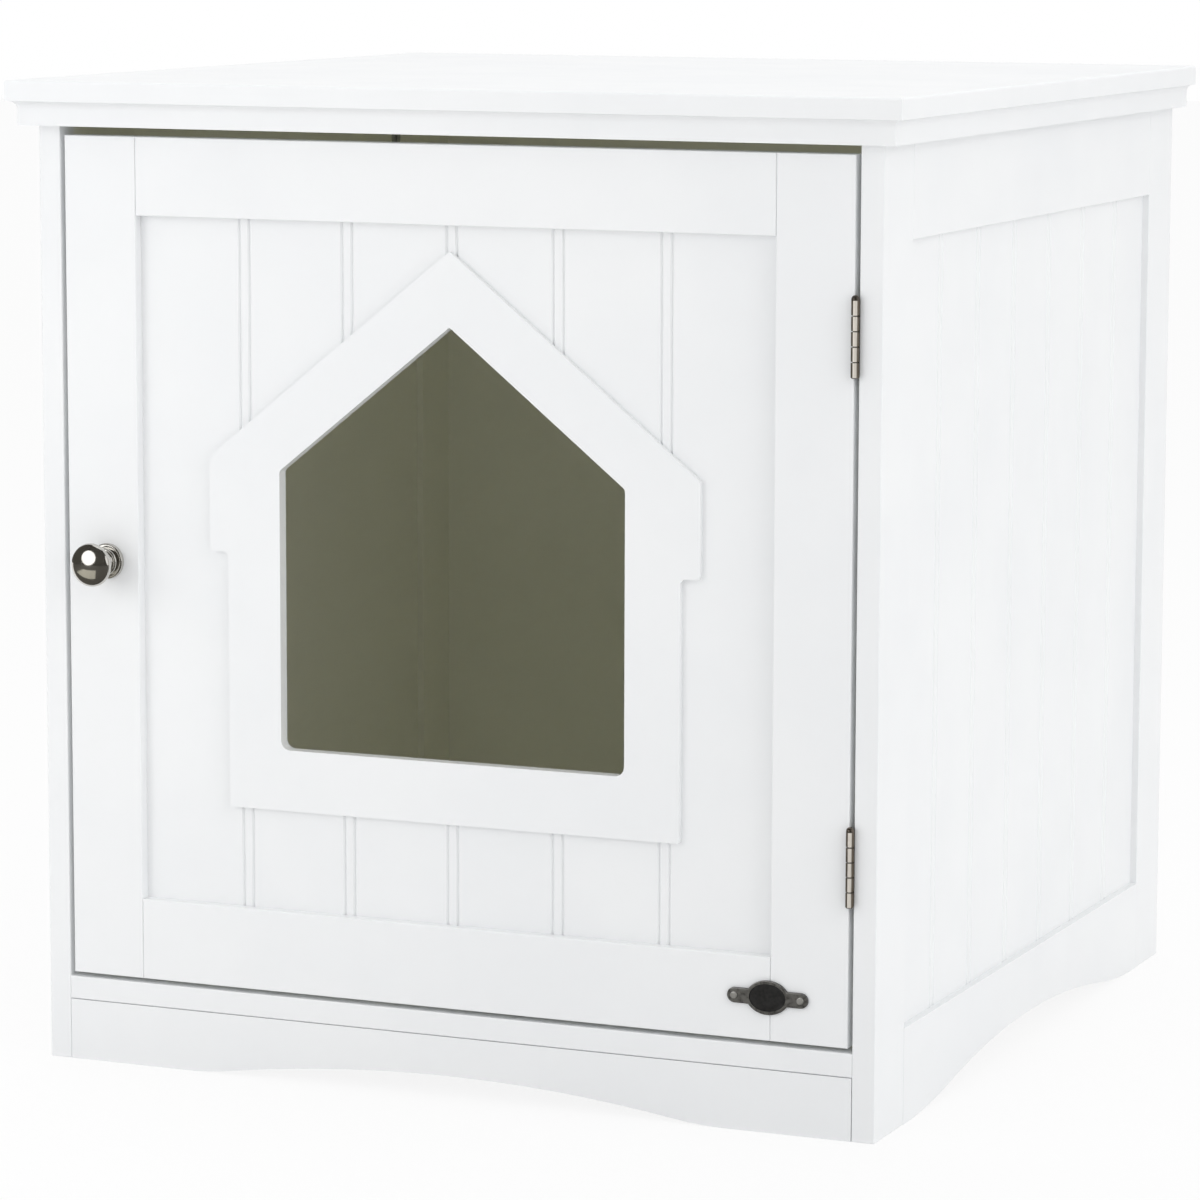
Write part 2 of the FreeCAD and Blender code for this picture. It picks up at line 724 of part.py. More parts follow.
def knob():
    """A turned knob: rosette with a round rim, neck and flattened ball, drilled for its screw."""
    neck = knob_neck_diameter / 2
    rosette = rosette_diameter / 2
    head = knob_diameter / 2
    half_length = knob_head_length / 2
    head_middle = knob_reach - half_length
    rim = rosette_thickness / 2
    cove = rosette - rim - neck
    diagonal = math.sqrt(0.5)

    def spot(radius, along):
        return FreeCAD.Vector(radius, -along, 0)

    def line(first, last):
        return Part.LineSegment(spot(*first), spot(*last)).toShape()

    def arc(first, middle, last):
        return Part.Arc(spot(*first), spot(*middle), spot(*last)).toShape()

    neck_angle = math.acos(neck / head)
    ball = Part.Ellipse(spot(0, head_middle), head, half_length)
    neck_end = head_middle - half_length * math.sin(neck_angle)
    neck_start = rosette_thickness + cove
    rim_middle = (rosette - rim + rim * diagonal, rim + rim * diagonal)
    cove_middle = (rosette - rim - cove * diagonal, neck_start - cove * diagonal)
    edges = [line((0, 0), (rosette, 0)), line((rosette, 0), (rosette, rim)),
             arc((rosette, rim), rim_middle, (rosette - rim, rosette_thickness)),
             arc((rosette - rim, rosette_thickness), cove_middle, (neck, neck_start)),
             line((neck, neck_start), (neck, neck_end)),
             Part.ArcOfEllipse(ball, -math.pi / 2, neck_angle).toShape(),
             line((0, knob_reach), (0, 0))]
    turned = Part.Face(Part.Wire(edges)).revolve(FreeCAD.Vector(), Y_AXIS, 360)
    turned.translate(FreeCAD.Vector(knob_x, front_y, knob_z))
    depth = knob_screw_bite + dowel_end_play
    return turned.cut(rod((knob_x, front_y, knob_z), Y_AXIS * -1, depth, knob_screw_radius + fixing_play))


def knob_screw():
    return screw((knob_x, door_back, knob_z), Y_AXIS, knob_screw_radius, door_thickness + knob_screw_bite,
                 knob_screw_head_radius, knob_screw_head_height, True)


# Hinges

def hinge_screw_places(side):
    """Seats of the leaf screws: side 1 is the post's leaf and side -1 the door's."""
    x = hinge_x + side * (door_side_gap / 2 - leaf_thickness)
    y = front_y + leaf_screw_setback
    return [(x, y, height + step * leaf_screw_spacing / 2) for height in hinge_heights for step in (-1, 1)]


def hinge_screw_holes(side):
    return [screw_hole(place, X_AXIS * -side, small_screw_radius, small_screw_length,
                       small_screw_head_radius, small_screw_head_height)
            for place in hinge_screw_places(side)]


def hinge_screws(side):
    return group([screw(place, X_AXIS * -side, small_screw_radius, small_screw_length,
                        small_screw_head_radius, small_screw_head_height)
                  for place in hinge_screw_places(side)])


def hinge_leaves(side):
    """The leaves on the post, side 1, or on the door, side -1, with every other knuckle of the barrel."""
    seat = hinge_x + side * door_side_gap / 2
    knuckle = hinge_length / knuckle_count
    room = barrel_radius + barrel_clearance
    leaves = []
    for height in hinge_heights:
        bottom = height - hinge_length / 2
        leaf = block((seat, seat - side * leaf_thickness), (hinge_y, front_y + leaf_depth),
                     (bottom, bottom + hinge_length))
        rings = []
        notches = []
        for index in range(knuckle_count):
            start = bottom + index * knuckle
            if (index % 2 == 0) == (side > 0):
                rings.append(rod((hinge_x, hinge_y, start), Z_AXIS, knuckle, barrel_radius))
            else:
                notches.append(block((hinge_x - room, hinge_x + room), (hinge_y - room, hinge_y + room),
                                     (start - knuckle_gap, start + knuckle + knuckle_gap)))
        bore = rod((hinge_x, hinge_y, bottom), Z_AXIS, hinge_length, hinge_pin_radius + hinge_pin_play)
        leaf = leaf.fuse(rings).cut(notches + [bore] + hinge_screw_holes(side))
        leaves.append(leaf.removeSplitter())
    return group(leaves)


def hinge_pins():
    """Pins with a domed finial on top and a spread end below."""
    pins = []
    for height in hinge_heights:
        bottom = height - hinge_length / 2
        pin = rod((hinge_x, hinge_y, bottom), Z_AXIS, hinge_length, hinge_pin_radius)
        top = bottom + hinge_length
        neck = rod((hinge_x, hinge_y, top), Z_AXIS, pin_head_neck, pin_head_radius)
        middle = FreeCAD.Vector(hinge_x, hinge_y, top + pin_head_neck)
        head = Part.makeSphere(pin_head_radius, middle, Z_AXIS, 0, 90)
        foot = rod((hinge_x, hinge_y, bottom), Z_AXIS * -1, pin_foot_height, pin_foot_radius)
        pins.append(pin.fuse([neck, head, foot]).removeSplitter())
    return group(pins)


# Magnetic catch and strike

catch_z = door_top - catch_from_top
catch_seat = -inner_x
catch_end = catch_seat + catch_height
catch_face = door_back + strike_thickness + catch_gap + pole_reach
stack_end = catch_end - catch_wall
stack_start = stack_end - magnet_height - 2 * pole_thickness
stack_middle = (stack_start + stack_end) / 2
magnet_z_span = (catch_z - magnet_length / 2, catch_z + magnet_length / 2)
catch_screw_places = [(catch_seat + catch_ear_thickness, catch_face + catch_depth / 2,
                       catch_z + step * (catch_length + catch_ear) / 2) for step in (-1, 1)]
strike_screw_place = (stack_middle, door_back + strike_thickness, catch_z)


def catch_housing():
    half = catch_length / 2
    half_ears = half + catch_ear
    y_span = (catch_face, catch_face + catch_depth)
    shell = block((catch_seat, catch_end), y_span, (catch_z - half, catch_z + half))
    ears = block((catch_seat, catch_seat + catch_ear_thickness), y_span,
                 (catch_z - half_ears, catch_z + half_ears))
    half_stack = magnet_length / 2 + fixing_play
    pocket = block((stack_start - fixing_play, stack_end + fixing_play),
                   (catch_face, catch_face + magnet_depth), (catch_z - half_stack, catch_z + half_stack))
    return shell.fuse(ears).removeSplitter().cut([pocket] + catch_screw_holes())


def catch_magnet():
    return block((stack_start + pole_thickness, stack_end - pole_thickness),
                 (catch_face, catch_face + magnet_depth), magnet_z_span)


def catch_poles():
    y_span = (catch_face - pole_reach, catch_face + magnet_depth)
    return group([block((low, low + pole_thickness), y_span, magnet_z_span)
                  for low in (stack_start, stack_end - pole_thickness)])


def catch_screw_holes():
    return [rod(place, X_AXIS * -1, small_screw_length + fixing_play, small_screw_radius + fixing_play)
            for place in catch_screw_places]


def catch_screws():
    return group([screw(place, X_AXIS, small_screw_radius, small_screw_length,
                        small_screw_head_radius, small_screw_head_height, True)
                  for place in catch_screw_places])


def strike_plate():
    half = strike_width / 2
    plate = block((stack_middle - half, stack_middle + half), (door_back, door_back + strike_thickness),
                  (catch_z - strike_length / 2, catch_z + strike_length / 2))
    return plate.cut(strike_screw_hole())


def strike_screw_hole():
    return screw_hole(strike_screw_place, Y_AXIS, small_screw_radius, small_screw_length,
                      small_screw_head_radius, small_screw_head_height)


def strike_screw():
    return screw(strike_screw_place, Y_AXIS, small_screw_radius, small_screw_length,
                 small_screw_head_radius, small_screw_head_height)


# Blank plate

plate_x = door_right - plate_from_side
plate_z = door_bottom + plate_from_bottom
plate_face = front_y - plate_thickness
plate_ear_x = (plate_length - plate_ear_height) / 2
plate_pin_places = [(plate_x + side * plate_ear_x, plate_face, plate_z) for side in (-1, 1)]


def plate_oval(length, height, depth):
    """An oval about the plate's middle, from the plate's face back by depth."""
    outline = Part.Ellipse(FreeCAD.Vector(), length / 2, height / 2).toShape()
    oval = Part.Face(Part.Wire(outline)).extrude(Z_AXIS * -depth)
    oval.rotate(FreeCAD.Vector(), X_AXIS, 90)
    oval.translate(FreeCAD.Vector(plate_x, plate_face, plate_z))
    return oval


def blank_plate():
    """An oval with a sunk field between two round ears, held by a pin through each ear."""
    half_ear = plate_ear_height / 2
    bar = block((plate_x - plate_ear_x, plate_x + plate_ear_x), (plate_face, front_y),
                (plate_z - half_ear, plate_z + half_ear))
    ears = [rod(place, Y_AXIS, plate_thickness, half_ear) for place in plate_pin_places]
    oval = plate_oval(plate_oval_length, plate_oval_height, plate_thickness)
    plate = bar.fuse(ears + [oval]).removeSplitter()
    rim = [edge for edge in plate.Edges if edge.BoundBox.YMax < plate_face + TOUCH]
    plate = plate.makeFillet(plate_edge_round, rim)
    field = plate_oval(plate_oval_length - 2 * plate_rim, plate_oval_height - 2 * plate_rim,
                       plate_field_depth)
    return plate.cut([field] + plate_pin_holes())


def plate_pin_holes():
    return [rod(place, Y_AXIS, plate_pin_length + fixing_play, plate_pin_radius + fixing_play)
            for place in plate_pin_places]


def plate_pins():
    pins = []
    for place in plate_pin_places:
        shank = rod(place, Y_AXIS, plate_pin_length, plate_pin_radius)
        head = rod(place, Y_AXIS * -1, plate_pin_head_height, plate_pin_head_radius)
        rim = [edge for edge in head.Edges if edge.BoundBox.YMax < place[1] - plate_pin_head_height / 2]
        pins.append(shank.fuse(head.makeFillet(plate_pin_head_height / 2, rim)))
    return group(pins)


# All the pieces, by name

sides = {"left": -1, "right": 1}
nodes = {}
cam_fittings = []
for side in sides.values():
    cam_fittings += [board_fitting(side, place) for place in cam_places]
    cam_fittings += [top_fitting(side, y) for y in top_cam_places]
nodes["top_board"] = top_board()
nodes["front_cornice"] = cornice(0)
for word, side in sides.items():
    nodes[word + "_cornice"] = cornice(side)
    nodes[word + "_front_stile"] = side_stile(side, True)
    nodes[word + "_rear_stile"] = side_stile(side, False)
    nodes[word + "_top_rail"] = side_top_rail(side)
    nodes[word + "_bottom_rail"] = side_bottom_rail(side)
    nodes[word + "_bead_panel"] = side_panel(side)
    nodes["door_" + word + "_stile"] = door_stile(side)
nodes["frame_dowels"] = group(frame_dowels(-1) + frame_dowels(1))
nodes["carcass_dowels"] = group([carcass_dowel(side, place)
                                 for side in (-1, 1) for place in carcass_dowel_places])
nodes["cam_bolts"] = group([fitting.bolt() for fitting in cam_fittings])
nodes["cam_locks"] = group([fitting.cam() for fitting in cam_fittings])
nodes["floor_board"] = floor_board()
nodes["front_apron"] = apron(True)
nodes["rear_apron"] = apron(False)
nodes["front_stretcher"] = stretcher(True)
nodes["rear_stretcher"] = stretcher(False)
nodes["back_panel"] = back_panel()
nodes["back_screws"] = back_screws()
nodes["door_top_rail"] = door_rail(True)
nodes["door_bottom_rail"] = door_rail(False)
nodes["door_bead_panel"] = door_bead_panel()
nodes["house_surround"] = house_surround()
nodes["door_dowels"] = group(door_dowels())
nodes["knob"] = knob()
nodes["knob_screw"] = knob_screw()
nodes["hinge_frame_leaves"] = hinge_leaves(1)
nodes["hinge_door_leaves"] = hinge_leaves(-1)
nodes["hinge_pins"] = hinge_pins()
nodes["hinge_frame_screws"] = hinge_screws(1)
nodes["hinge_door_screws"] = hinge_screws(-1)
nodes["catch_housing"] = catch_housing()
nodes["catch_magnet"] = catch_magnet()
nodes["catch_poles"] = catch_poles()
nodes["catch_screws"] = catch_screws()
nodes["strike_plate"] = strike_plate()
nodes["strike_screw"] = strike_screw()
nodes["blank_plate"] = blank_plate()
nodes["plate_pins"] = plate_pins()

os.makedirs("parts", exist_ok=True)
for name, shape in nodes.items():
    shape.exportStep("parts/" + name + ".step")
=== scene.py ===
import math

import bmesh
import bpy
from mathutils import Matrix, Vector


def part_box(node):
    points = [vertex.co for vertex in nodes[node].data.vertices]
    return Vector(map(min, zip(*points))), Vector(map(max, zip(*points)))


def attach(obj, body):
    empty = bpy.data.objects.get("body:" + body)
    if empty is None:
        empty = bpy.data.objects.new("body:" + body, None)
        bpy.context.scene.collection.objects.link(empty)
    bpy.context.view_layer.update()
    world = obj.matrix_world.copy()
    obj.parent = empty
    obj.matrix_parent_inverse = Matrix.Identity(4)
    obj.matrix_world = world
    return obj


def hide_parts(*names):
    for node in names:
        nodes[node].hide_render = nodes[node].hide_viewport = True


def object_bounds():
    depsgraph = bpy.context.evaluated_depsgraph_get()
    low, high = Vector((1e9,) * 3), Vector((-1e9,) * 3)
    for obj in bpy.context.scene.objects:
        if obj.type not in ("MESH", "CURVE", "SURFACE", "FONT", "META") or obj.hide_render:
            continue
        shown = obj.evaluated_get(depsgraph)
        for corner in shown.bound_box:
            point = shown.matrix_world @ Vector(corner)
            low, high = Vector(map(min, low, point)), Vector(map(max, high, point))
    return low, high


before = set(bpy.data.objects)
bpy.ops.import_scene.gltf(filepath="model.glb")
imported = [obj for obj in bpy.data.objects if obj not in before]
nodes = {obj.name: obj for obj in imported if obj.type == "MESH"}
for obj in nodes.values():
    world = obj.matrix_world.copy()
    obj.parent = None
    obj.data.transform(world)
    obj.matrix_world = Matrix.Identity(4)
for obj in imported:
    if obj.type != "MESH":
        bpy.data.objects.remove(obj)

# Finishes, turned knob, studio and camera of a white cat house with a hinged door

cad_low, cad_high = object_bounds()
scene = bpy.context.scene
MM = 0.001                      # the frame is in metres

# Places read from the frame
CABIN_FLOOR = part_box("floor_board")[1][2]
CABIN_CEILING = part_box("top_board")[0][2]
CABIN_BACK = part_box("back_panel")[0][1]
DOOR_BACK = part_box("door_left_stile")[1][1]
DOOR_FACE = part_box("door_left_stile")[0][1]
BODY_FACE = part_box("left_front_stile")[0][1]
PANEL_OUTER = -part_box("left_bead_panel")[0][0]
PANEL_INNER = -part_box("left_bead_panel")[1][0]


def colour(red, green, blue):
    return (red, green, blue, 1.0)


class ShaderTree:
    """Builds shader nodes in one tree."""

    def __init__(self, tree):
        self.tree = tree

    def node(self, kind, inputs=(), **settings):
        """A new node; each input is a value or the socket that feeds it."""
        made = self.tree.nodes.new(kind)
        for setting, value in settings.items():
            setattr(made, setting, value)
        for socket, value in dict(inputs).items():
            if isinstance(value, bpy.types.NodeSocket):
                self.tree.links.new(value, made.inputs[socket])
            else:
                made.inputs[socket].default_value = value
        return made

    def math(self, operation, first, second=0.0, third=0.0):
        return self.node("ShaderNodeMath", {0: first, 1: second, 2: third}, operation=operation).outputs[0]

    def seen_directly(self):
        """1 for what the camera, a mirror or a glass sees, 0 for the light that falls on things."""
        path = self.node("ShaderNodeLightPath")
        total = path.outputs["Is Camera Ray"]
        for ray in ("Is Glossy Ray", "Is Transmission Ray"):
            total = self.math("MAXIMUM", total, path.outputs[ray])
        return total


# Octaves of a noise
PLAIN = 1.0
DETAILED = 2.0
RICH = 3.0
MOTTLED = 4.0

# The stretch of a noise's values that a blend uses
MIDDLE = (0.3, 0.7)
WIDE = (0.25, 0.75)

# How far a texture is drawn out along each axis
EVEN = (1.0, 1.0, 1.0)
ALONG_X = (12.0, 1.0, 1.0)
ALONG_Y = (1.0, 12.0, 1.0)
ALONG_Z = (1.0, 1.0, 12.0)

# samples of the painted shade in the brushed metals' recesses
PAINTED_SHADE_SAMPLES = 6
MIX_FIRST, MIX_SECOND, MIX_RESULT = 6, 7, 2     # sockets of a mix of colours


class Finish(ShaderTree):
    """One material, built node by node on the piece's own coordinates."""

    def __init__(self, name, **constants):
        self.material = bpy.data.materials.new(name)
        self.material.use_nodes = True
        super().__init__(self.material.node_tree)
        self.shader = self.tree.nodes["Principled BSDF"]
        for socket, value in constants.items():
            self.shader.inputs[socket.replace("_", " ")].default_value = value
        self.place = self.node("ShaderNodeTexCoord").outputs["Object"]

    def feed(self, socket, source):
        self.tree.links.new(source, self.shader.inputs[socket])

    def axes(self):
        split = self.node("ShaderNodeSeparateXYZ", {0: self.place})
        return split.outputs[0], split.outputs[1], split.outputs[2]

    def noise(self, size, detail=DETAILED, stretch=EVEN):
        """Clouds about size metres across, drawn out along the axes by stretch."""
        shrink = [1 / (size * share) for share in stretch]
        spot = self.node("ShaderNodeMapping", {"Vector": self.place, "Scale": shrink}).outputs[0]
        return self.node("ShaderNodeTexNoise", {"Vector": spot, "Scale": 1.0, "Detail": detail}).outputs[0]

    def spread(self, value, stretch, onto=(0.0, 1.0)):
        """A stretch of the value's range, eased onto another range."""
        start, end = stretch
        low, high = onto
        limits = {"Value": value, "From Min": start, "From Max": end, "To Min": low, "To Max": high}
        return self.node("ShaderNodeMapRange", limits, interpolation_type="SMOOTHSTEP").outputs[0]

    def mix(self, share, first, second):
        """Two colours blended: first where share is 0, second where it is 1."""
        feeds = {0: share, MIX_FIRST: first, MIX_SECOND: second}
        return self.node("ShaderNodeMix", feeds, data_type="RGBA").outputs[MIX_RESULT]

    def bump(self, height, depth):
        """Relief of that depth in metres."""
        return self.node("ShaderNodeBump", {"Height": height, "Distance": depth, "Strength": 1.0}).outputs[0]

    def shade_mask(self, reach):
        """Mask of painted shade: 1 deep in a joint or groove, 0 in the open."""
        feeds = {"Distance": reach}
        open_sky = self.node("ShaderNodeAmbientOcclusion", feeds, samples=PAINTED_SHADE_SAMPLES).outputs["AO"]
        return self.math("SUBTRACT", 1.0, open_sky)


# Paint of the boards
PAINT_WHITE = colour(0.868, 0.877, 0.884)
PAINT_CLOUD = colour(0.846, 0.857, 0.868)
PAINT_CLOUD_SIZE = 90 * MM
PAINT_SHEEN_SIZE = 30 * MM      # patches of more and less gloss
PAINT_ROUGHNESS = (0.36, 0.46)
PEEL_SIZE = 1.5 * MM
PEEL_DEPTH = 0.012 * MM
CABIN_CREAM = colour(0.886, 0.884, 0.798)
SPRAY_EDGE = 5 * MM             # how gradually the cabin's coat starts behind the door
SPRAY_EDGE_SIZE = 12 * MM       # waves of that edge
FACE_SLACK = 0.3 * MM           # how far past a face its coat still counts


def cabin_share(paint, wall):
    """1 on the faces that look into the cabin, 0 on the outside ones."""
    x, y, z = paint.axes()
    ragged = paint.math("MULTIPLY_ADD", paint.noise(SPRAY_EDGE_SIZE), SPRAY_EDGE, DOOR_BACK)
    share = paint.spread(paint.math("SUBTRACT", y, ragged), (-SPRAY_EDGE / 2, SPRAY_EDGE / 2))
    limits = (
        paint.math("LESS_THAN", paint.math("ABSOLUTE", x), wall),
        paint.math("LESS_THAN", y, CABIN_BACK + FACE_SLACK),
        paint.math("GREATER_THAN", z, CABIN_FLOOR - FACE_SLACK),
        paint.math("LESS_THAN", z, CABIN_CEILING + FACE_SLACK),
    )
    for limit in limits:
        share = paint.math("MULTIPLY", share, limit)
    return share


def satin_paint(name, cabin_wall=None):
    """Sprayed satin paint with fine peel and faint clouds, a cream coat within the cabin's walls."""
    paint = Finish(name)
    clouds = paint.spread(paint.noise(PAINT_CLOUD_SIZE, RICH), MIDDLE)
    coat = paint.mix(clouds, PAINT_WHITE, PAINT_CLOUD)
    if cabin_wall is not None:
        coat = paint.mix(cabin_share(paint, cabin_wall), coat, CABIN_CREAM)
    paint.feed("Base Color", coat)
    paint.feed("Roughness", paint.spread(paint.noise(PAINT_SHEEN_SIZE), WIDE, PAINT_ROUGHNESS))
    paint.feed("Normal", paint.bump(paint.noise(PEEL_SIZE, PLAIN), PEEL_DEPTH))
    return paint.material


# Chrome of the knob
CHROME_BRIGHT = colour(0.67, 0.655, 0.62)
CHROME_DULL = colour(0.59, 0.575, 0.54)
CHROME_SMEAR_SIZE = 4 * MM
CHROME_SMEAR_STRETCH = (1.0, 1.0, 3.0)
CHROME_ROUGHNESS = (0.07, 0.13)
CHROME_GRAIN_SIZE = 0.5 * MM
CHROME_GRAIN_DEPTH = 0.001 * MM


def polished_chrome(name):
    """Mirror plating with faint wiping marks."""
    plate = Finish(name, Metallic=1.0)
    smear = plate.noise(CHROME_SMEAR_SIZE, RICH, CHROME_SMEAR_STRETCH)
    plate.feed("Base Color", plate.mix(smear, CHROME_BRIGHT, CHROME_DULL))
    plate.feed("Roughness", plate.spread(smear, MIDDLE, CHROME_ROUGHNESS))
    plate.feed("Normal", plate.bump(plate.noise(CHROME_GRAIN_SIZE), CHROME_GRAIN_DEPTH))
    return plate.material


# Brushed metal of the screws, pins and small plates
HAIR_SIZE = 0.35 * MM
HAIR_DEPTH = 0.006 * MM
HAIR_ROUGHNESS = 0.14           # how much rougher the dullest hairs are
METAL_PATCH_SIZE = 6 * MM
# Painted shade: the brushed metals darken towards this tone in joints and recesses, where shade falls
PAINTED_SHADE_REACH = 3 * MM
PAINTED_SHADE_STRENGTH = 0.7
RECESS_SHADE_TONE = colour(0.10, 0.085, 0.065)


def brushed_metal(name, bright, dull, rough, stroke, reach=PAINTED_SHADE_REACH):
    """Plated metal brushed along stroke, with painted shade darkening it in its joints and recesses."""
    metal = Finish(name, Metallic=1.0)
    hairs = metal.noise(HAIR_SIZE, DETAILED, stroke)
    tone = metal.mix(metal.spread(metal.noise(METAL_PATCH_SIZE, RICH), MIDDLE), bright, dull)
    # painted shade: darker in the joints and recesses
    painted_shade = metal.math("MULTIPLY", metal.shade_mask(reach), PAINTED_SHADE_STRENGTH)
    metal.feed("Base Color", metal.mix(painted_shade, tone, RECESS_SHADE_TONE))
    metal.feed("Roughness", metal.spread(hairs, WIDE, (rough, rough + HAIR_ROUGHNESS)))
    metal.feed("Normal", metal.bump(hairs, HAIR_DEPTH))
    return metal.material


# Zinc of the cam locks
ZINC_BRIGHT = colour(0.56, 0.57, 0.58)
ZINC_DULL = colour(0.40, 0.41, 0.42)
ZINC_PATCH_SIZE = 3 * MM
ZINC_ROUGHNESS = (0.38, 0.58)
ZINC_GRAIN_SIZE = 0.4 * MM
ZINC_GRAIN_DEPTH = 0.02 * MM


def cast_zinc(name):
    """Die-cast zinc: dull, grainy and slightly patchy."""
    zinc = Finish(name, Metallic=1.0)
    patches = zinc.noise(ZINC_PATCH_SIZE, RICH)
    zinc.feed("Base Color", zinc.mix(patches, ZINC_BRIGHT, ZINC_DULL))
    zinc.feed("Roughness", zinc.spread(patches, MIDDLE, ZINC_ROUGHNESS))
    zinc.feed("Normal", zinc.bump(zinc.noise(ZINC_GRAIN_SIZE), ZINC_GRAIN_DEPTH))
    return zinc.material


# Beech of the dowels
BEECH_PALE = colour(0.66, 0.46, 0.28)
BEECH_BROWN = colour(0.50, 0.32, 0.18)
BEECH_FLECK = colour(0.34, 0.20, 0.11)
BEECH_RING_SIZE = 1.2 * MM
BEECH_RING_STRETCH = (0.2, 0.8)
BEECH_FLECK_SIZE = 0.4 * MM
BEECH_FLECK_STRETCH = (0.6, 0.75)
BEECH_FLECK_SHARE = (0.0, 0.5)
BEECH_FLECK_DEPTH = 0.02 * MM
BEECH_ROUGHNESS = (0.55, 0.7)


def beech(name, grain):
    """Turned beech with its flecks drawn out along grain."""
    wood = Finish(name)
    rings = wood.noise(BEECH_RING_SIZE, RICH, grain)
    flecks = wood.noise(BEECH_FLECK_SIZE, PLAIN, grain)
    tone = wood.mix(wood.spread(rings, MIDDLE), BEECH_PALE, BEECH_BROWN)
    flecked = wood.spread(flecks, BEECH_FLECK_STRETCH, BEECH_FLECK_SHARE)
    wood.feed("Base Color", wood.mix(flecked, tone, BEECH_FLECK))
    wood.feed("Roughness", wood.spread(rings, BEECH_RING_STRETCH, BEECH_ROUGHNESS))
    wood.feed("Normal", wood.bump(flecks, BEECH_FLECK_DEPTH))
    return wood.material


# Plastic of the catch
PLASTIC_PALE = colour(0.80, 0.78, 0.72)
PLASTIC_DEEP = colour(0.76, 0.74, 0.67)
PLASTIC_CLOUD_SIZE = 15 * MM
PLASTIC_ROUGHNESS = (0.42, 0.56)
PLASTIC_GRAIN_SIZE = 0.6 * MM
PLASTIC_GRAIN_DEPTH = 0.02 * MM


def moulded_plastic(name):
    """Ivory moulded plastic with a fine spark-eroded grain."""
    shell = Finish(name)
    grain = shell.noise(PLASTIC_GRAIN_SIZE, PLAIN)
    shell.feed("Base Color", shell.mix(shell.noise(PLASTIC_CLOUD_SIZE), PLASTIC_PALE, PLASTIC_DEEP))
    shell.feed("Roughness", shell.spread(grain, MIDDLE, PLASTIC_ROUGHNESS))
    shell.feed("Normal", shell.bump(grain, PLASTIC_GRAIN_DEPTH))
    return shell.material


# Ferrite of the catch's magnet
FERRITE_BLACK = colour(0.030, 0.030, 0.032)
FERRITE_GREY = colour(0.065, 0.062, 0.060)
FERRITE_ROUGHNESS = (0.55, 0.75)
FERRITE_GRAIN_SIZE = 0.5 * MM
FERRITE_GRAIN_DEPTH = 0.03 * MM


def ferrite(name):
    """Sintered magnet: near black and grainy."""
    block = Finish(name)
    grain = block.noise(FERRITE_GRAIN_SIZE, RICH)
    block.feed("Base Color", block.mix(grain, FERRITE_BLACK, FERRITE_GREY))
    block.feed("Roughness", block.spread(grain, MIDDLE, FERRITE_ROUGHNESS))
    block.feed("Normal", block.bump(grain, FERRITE_GRAIN_DEPTH))
    return block.material


# Nickel of the hinges
PINS_LOW, PINS_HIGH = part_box("hinge_pins")
HINGE_X = (PINS_LOW[0] + PINS_HIGH[0]) / 2
HINGE_Y = (PINS_LOW[1] + PINS_HIGH[1]) / 2
BARREL_RADIUS = HINGE_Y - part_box("hinge_frame_leaves")[0][1]
NICKEL_BROWN = colour(0.20, 0.165, 0.125)
NICKEL_DARK = colour(0.12, 0.10, 0.075)
# Painted highlight: a bright cream stripe down the front of each barrel, in place of a lamp's reflection
NICKEL_HIGHLIGHT = colour(0.93, 0.87, 0.79)
NICKEL_PATCH_SIZE = 2.5 * MM
NICKEL_ROUGHNESS = (0.30, 0.44)
NICKEL_METALLIC = (1.0, 0.45)   # where it is brown and where the painted highlight is
NICKEL_HAIR_DEPTH = 0.004 * MM
HIGHLIGHT_TURN = math.radians(17)     # how far to the right of straight on the painted highlight runs down the barrels
HIGHLIGHT_STRETCH = (0.78, 0.96)      # shares of the barrel's radius, along that way
HIGHLIGHT_RAGGED = 0.16               # how far the painted highlight's edges wander, as such a share
NOISE_MEAN = 0.5


def highlit_nickel(name):
    """Nickel gone brown, with a painted highlight: a bright stripe down the front of the barrels."""
    metal = Finish(name)
    x, y = metal.axes()[:2]
    across = metal.math("MULTIPLY", metal.math("SUBTRACT", x, HINGE_X), math.sin(HIGHLIGHT_TURN) / BARREL_RADIUS)
    outward = metal.math("MULTIPLY", metal.math("SUBTRACT", HINGE_Y, y), math.cos(HIGHLIGHT_TURN) / BARREL_RADIUS)
    patches = metal.noise(NICKEL_PATCH_SIZE, RICH, ALONG_Z)
    ragged = metal.math("MULTIPLY", metal.math("SUBTRACT", patches, NOISE_MEAN), HIGHLIGHT_RAGGED)
    facing = metal.math("ADD", metal.math("ADD", across, outward), ragged)
    # painted highlight stripe down the barrels' front
    wear_and_highlight = metal.spread(facing, HIGHLIGHT_STRETCH)
    tone = metal.mix(patches, NICKEL_BROWN, NICKEL_DARK)
    metal.feed("Base Color", metal.mix(wear_and_highlight, tone, NICKEL_HIGHLIGHT))
    metal.feed("Metallic", metal.spread(wear_and_highlight, (0.0, 1.0), NICKEL_METALLIC))
    metal.feed("Roughness", metal.spread(patches, MIDDLE, NICKEL_ROUGHNESS))
    metal.feed("Normal", metal.bump(metal.noise(HAIR_SIZE, DETAILED, ALONG_Z), NICKEL_HAIR_DEPTH))
    return metal.material


# Pewter of the blank plate
PLATE_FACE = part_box("blank_plate")[0][1]
PLATE_FIELD_DEPTH = 0.5 * MM
PEWTER_DARK = colour(0.060, 0.060, 0.062)
PEWTER_GREY = colour(0.13, 0.13, 0.13)
PEWTER_RUBBED = colour(0.46, 0.45, 0.43)
PEWTER_PROUD_SHARE = (0.0, 0.8)         # how rubbed the sunk field and the proud rim are
PEWTER_RUB_STRETCH = (0.25, 0.6)
PEWTER_RUB_SHARE = (0.4, 1.0)
PEWTER_ROUGHNESS = (0.30, 0.48)
PEWTER_MOTTLE_SIZE = 1.6 * MM
PEWTER_MOTTLE_DEPTH = 0.03 * MM


